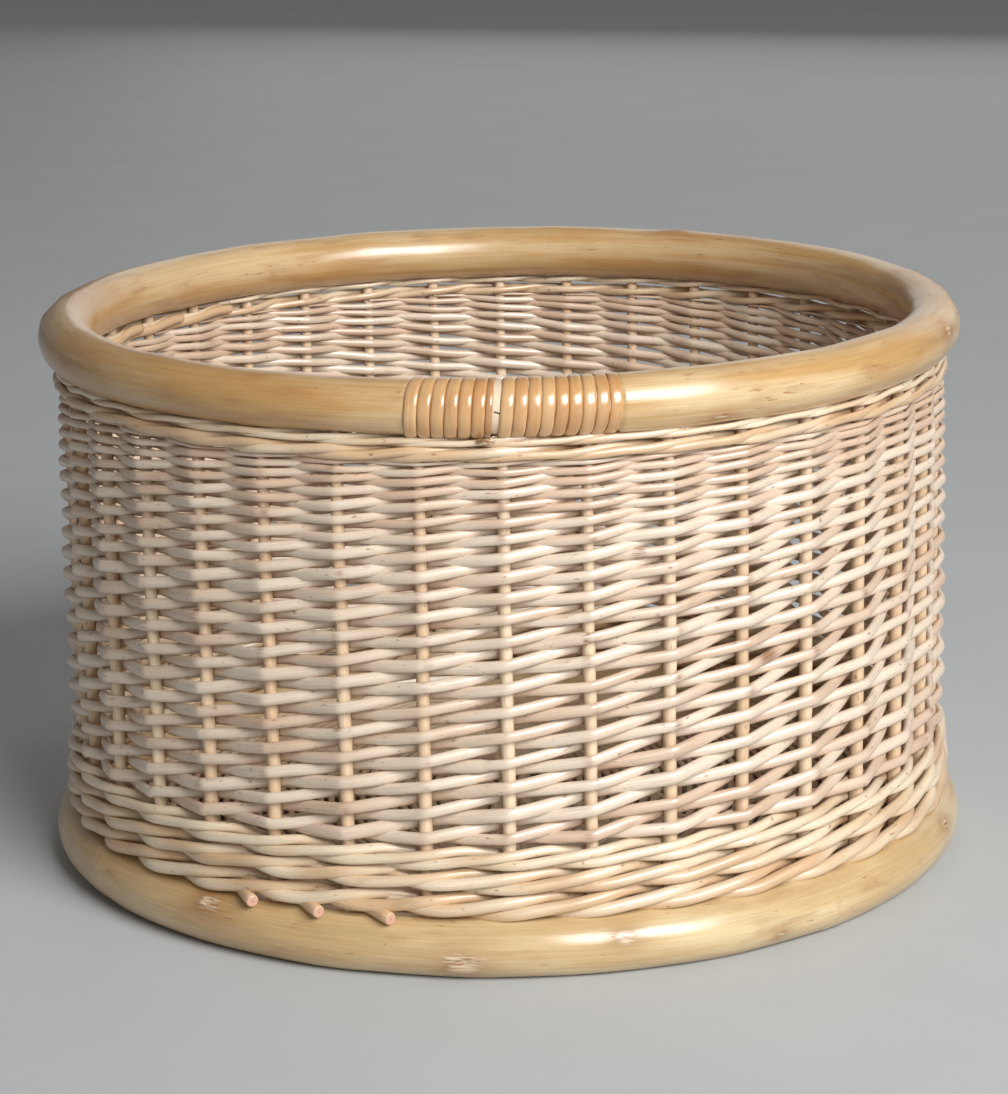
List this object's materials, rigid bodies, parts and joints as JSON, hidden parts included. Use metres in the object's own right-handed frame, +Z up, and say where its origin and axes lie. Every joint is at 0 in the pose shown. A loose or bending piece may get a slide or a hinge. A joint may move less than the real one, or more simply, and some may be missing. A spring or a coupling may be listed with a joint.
{
  "type": "round wicker basket",
  "caption": "Open round wicker basket with thick bent-cane hoops at rim and base, a wall of woven willow rods on upright stakes, and cane binding over the rim's joint.",
  "frame": {"origin": "on the surface the basket stands on, under the middle of the basket", "axes": "+Z up through the open mouth; -Y towards the bound joint of the rim hoop, which is the front; +X to the right seen from the front"},
  "size_m": [0.4542, 0.4542, 0.2729],
  "materials": {
    "hoop_cane": "lacquered honey-coloured rattan cane, satin to glossy",
    "binding_cane": "glossy lacquered half-round cane",
    "stake_willow": "peeled white willow, satin varnish",
    "woven_willow": "peeled white willow, satin varnish, pinkish to cream",
    "pin_steel": "plain wire nail"
  },
  "bodies": {
    "root": {"rim_hoop": "hoop_cane", "rim_scarf_pins": "pin_steel", "rim_binding_left": "binding_cane", "rim_binding_right": "binding_cane", "base_hoop": "hoop_cane", "base_scarf_pins": "pin_steel", "bottom_wale": "woven_willow", "wall_rand": "woven_willow", "top_wale": "woven_willow", "base_weave": "woven_willow", "stake_01": "stake_willow", "stake_02": "stake_willow", "stake_03": "stake_willow", "stake_04": "stake_willow", "stake_05": "stake_willow", "stake_06": "stake_willow", "stake_07": "stake_willow", "stake_08": "stake_willow", "stake_09": "stake_willow", "stake_10": "stake_willow", "stake_11": "stake_willow", "stake_12": "stake_willow", "stake_13": "stake_willow", "stake_14": "stake_willow", "stake_15": "stake_willow", "stake_16": "stake_willow", "stake_17": "stake_willow", "stake_18": "stake_willow", "stake_19": "stake_willow", "stake_20": "stake_willow", "stake_21": "stake_willow", "stake_22": "stake_willow", "stake_23": "stake_willow", "stake_24": "stake_willow", "stake_25": "stake_willow", "stake_26": "stake_willow", "stake_27": "stake_willow", "stake_28": "stake_willow", "stake_29": "stake_willow", "stake_30": "stake_willow", "stake_31": "stake_willow", "stake_32": "stake_willow", "stake_33": "stake_willow", "stake_34": "stake_willow", "stake_35": "stake_willow", "stake_36": "stake_willow", "base_stick_threaded_1": "stake_willow", "base_stick_threaded_2": "stake_willow", "base_stick_threaded_3": "stake_willow", "base_stick_threaded_4": "stake_willow", "base_stick_pierced_1": "stake_willow", "base_stick_pierced_2": "stake_willow", "base_stick_pierced_3": "stake_willow", "base_stick_pierced_4": "stake_willow", "base_stick_pierced_5": "stake_willow"}
  },
  "joints": []
}
